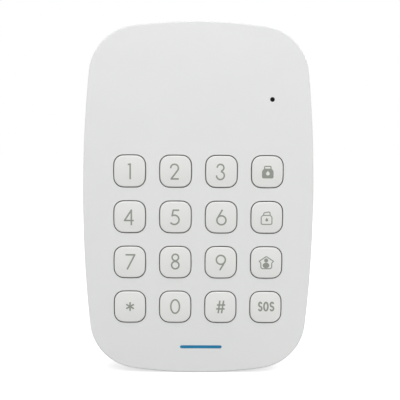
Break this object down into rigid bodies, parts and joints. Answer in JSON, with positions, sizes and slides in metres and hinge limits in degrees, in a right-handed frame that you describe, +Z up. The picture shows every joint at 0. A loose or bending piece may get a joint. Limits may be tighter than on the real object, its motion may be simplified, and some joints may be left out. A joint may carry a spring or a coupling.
{
  "type": "alarm keypad panel",
  "caption": "Wall-mounted wireless alarm keypad with number, arm, disarm, home and help keys, a status light, a battery bay and a lift-off wall bracket.",
  "frame": {"origin": "the middle of the face that lies on the wall, level with the middle of the case", "axes": "+X to the right of a person facing the keypad, +Z up the wall, +Y into the wall, so the keys face -Y"},
  "size_m": [0.0856, 0.0218, 0.1318],
  "materials": {
    "cover": "fine satin texture",
    "keycap": "smooth, slightly translucent",
    "rear": "fine matte texture",
    "bracket": "matte",
    "door": "fine matte texture",
    "silicone": "matte, milky",
    "carbon": "matte",
    "board": "solder mask, semi gloss",
    "pads": "gold plated",
    "chip": "moulded, matte",
    "shield": "tinned sheet",
    "steel": "zinc plated",
    "spring_wire": "nickel plated",
    "cell": "printed jacket, plain",
    "led": "clear",
    "lens": "smoked",
    "plunger": "smooth",
    "connector": "natural nylon",
    "label": "blank film"
  },
  "bodies": {
    "bracket": {"wall_bracket": "bracket"},
    "housing": {"front_cover": "cover", "rear_cover": "rear", "keypad_mat": "silicone", "carbon_pills": "carbon", "main_pcb": "board", "key_contacts": "pads", "status_led": "led", "led_lens": "lens", "buzzer": "chip", "microcontroller": "chip", "radio_module": "shield", "antenna": "steel", "passive_components": "chip", "service_connector": "connector", "aaa_cell_top": "cell", "aaa_cell_middle": "cell", "aaa_cell_bottom": "cell", "battery_springs": "spring_wire", "battery_contacts": "steel", "tamper_spring": "spring_wire", "tamper_switch": "chip", "case_screws": "steel", "pcb_screws": "steel", "rating_label": "label"},
    "door": {"battery_door": "door"},
    "plunger": {"tamper_plunger": "plunger"},
    "key_1": {"key_1": "keycap"},
    "key_2": {"key_2": "keycap"},
    "key_3": {"key_3": "keycap"},
    "key_arm": {"key_arm": "keycap"},
    "key_4": {"key_4": "keycap"},
    "key_5": {"key_5": "keycap"},
    "key_6": {"key_6": "keycap"},
    "key_disarm": {"key_disarm": "keycap"},
    "key_7": {"key_7": "keycap"},
    "key_8": {"key_8": "keycap"},
    "key_9": {"key_9": "keycap"},
    "key_home": {"key_home": "keycap"},
    "key_star": {"key_star": "keycap"},
    "key_0": {"key_0": "keycap"},
    "key_hash": {"key_hash": "keycap"},
    "key_sos": {"key_sos": "keycap"}
  },
  "joints": [
    {"name": "lift_off", "type": "slide", "parent": "bracket", "child": "housing", "axis": [0, 0, 1], "range_m": [0, 0.003]},
    {"name": "press_1", "type": "slide", "parent": "housing", "child": "key_1", "axis": [0, 1, 0], "range_m": [0, 0.0011], "stiffness_N_per_m": 900, "deforming": ["keypad_mat", "carbon_pills"]},
    {"name": "press_2", "type": "slide", "parent": "housing", "child": "key_2", "axis": [0, 1, 0], "range_m": [0, 0.0011], "stiffness_N_per_m": 900, "deforming": ["keypad_mat", "carbon_pills"]},
    {"name": "press_3", "type": "slide", "parent": "housing", "child": "key_3", "axis": [0, 1, 0], "range_m": [0, 0.0011], "stiffness_N_per_m": 900, "deforming": ["keypad_mat", "carbon_pills"]},
    {"name": "press_arm", "type": "slide", "parent": "housing", "child": "key_arm", "axis": [0, 1, 0], "range_m": [0, 0.0011], "stiffness_N_per_m": 900, "deforming": ["keypad_mat", "carbon_pills"]},
    {"name": "press_4", "type": "slide", "parent": "housing", "child": "key_4", "axis": [0, 1, 0], "range_m": [0, 0.0011], "stiffness_N_per_m": 900, "deforming": ["keypad_mat", "carbon_pills"]},
    {"name": "press_5", "type": "slide", "parent": "housing", "child": "key_5", "axis": [0, 1, 0], "range_m": [0, 0.0011], "stiffness_N_per_m": 900, "deforming": ["keypad_mat", "carbon_pills"]},
    {"name": "press_6", "type": "slide", "parent": "housing", "child": "key_6", "axis": [0, 1, 0], "range_m": [0, 0.0011], "stiffness_N_per_m": 900, "deforming": ["keypad_mat", "carbon_pills"]},
    {"name": "press_disarm", "type": "slide", "parent": "housing", "child": "key_disarm", "axis": [0, 1, 0], "range_m": [0, 0.0011], "stiffness_N_per_m": 900, "deforming": ["keypad_mat", "carbon_pills"]},
    {"name": "press_7", "type": "slide", "parent": "housing", "child": "key_7", "axis": [0, 1, 0], "range_m": [0, 0.0011], "stiffness_N_per_m": 900, "deforming": ["keypad_mat", "carbon_pills"]},
    {"name": "press_8", "type": "slide", "parent": "housing", "child": "key_8", "axis": [0, 1, 0], "range_m": [0, 0.0011], "stiffness_N_per_m": 900, "deforming": ["keypad_mat", "carbon_pills"]},
    {"name": "press_9", "type": "slide", "parent": "housing", "child": "key_9", "axis": [0, 1, 0], "range_m": [0, 0.0011], "stiffness_N_per_m": 900, "deforming": ["keypad_mat", "carbon_pills"]},
    {"name": "press_home", "type": "slide", "parent": "housing", "child": "key_home", "axis": [0, 1, 0], "range_m": [0, 0.0011], "stiffness_N_per_m": 900, "deforming": ["keypad_mat", "carbon_pills"]},
    {"name": "press_star", "type": "slide", "parent": "housing", "child": "key_star", "axis": [0, 1, 0], "range_m": [0, 0.0011], "stiffness_N_per_m": 900, "deforming": ["keypad_mat", "carbon_pills"]},
    {"name": "press_0", "type": "slide", "parent": "housing", "child": "key_0", "axis": [0, 1, 0], "range_m": [0, 0.0011], "stiffness_N_per_m": 900, "deforming": ["keypad_mat", "carbon_pills"]},
    {"name": "press_hash", "type": "slide", "parent": "housing", "child": "key_hash", "axis": [0, 1, 0], "range_m": [0, 0.0011], "stiffness_N_per_m": 900, "deforming": ["keypad_mat", "carbon_pills"]},
    {"name": "press_sos", "type": "slide", "parent": "housing", "child": "key_sos", "axis": [0, 1, 0], "range_m": [0, 0.0011], "stiffness_N_per_m": 900, "deforming": ["keypad_mat", "carbon_pills"]},
    {"name": "door_hinge", "type": "hinge", "parent": "housing", "child": "door", "pos_m": [-0.0045, -0.0031, 0.017], "axis": [-1, 0, 0], "range_deg": [0, 75]},
    {"name": "tamper_travel", "type": "slide", "parent": "housing", "child": "plunger", "axis": [0, -1, 0], "range_m": [0, 0.0015], "stiffness_N_per_m": 150, "deforming": ["tamper_spring"]}
  ]
}
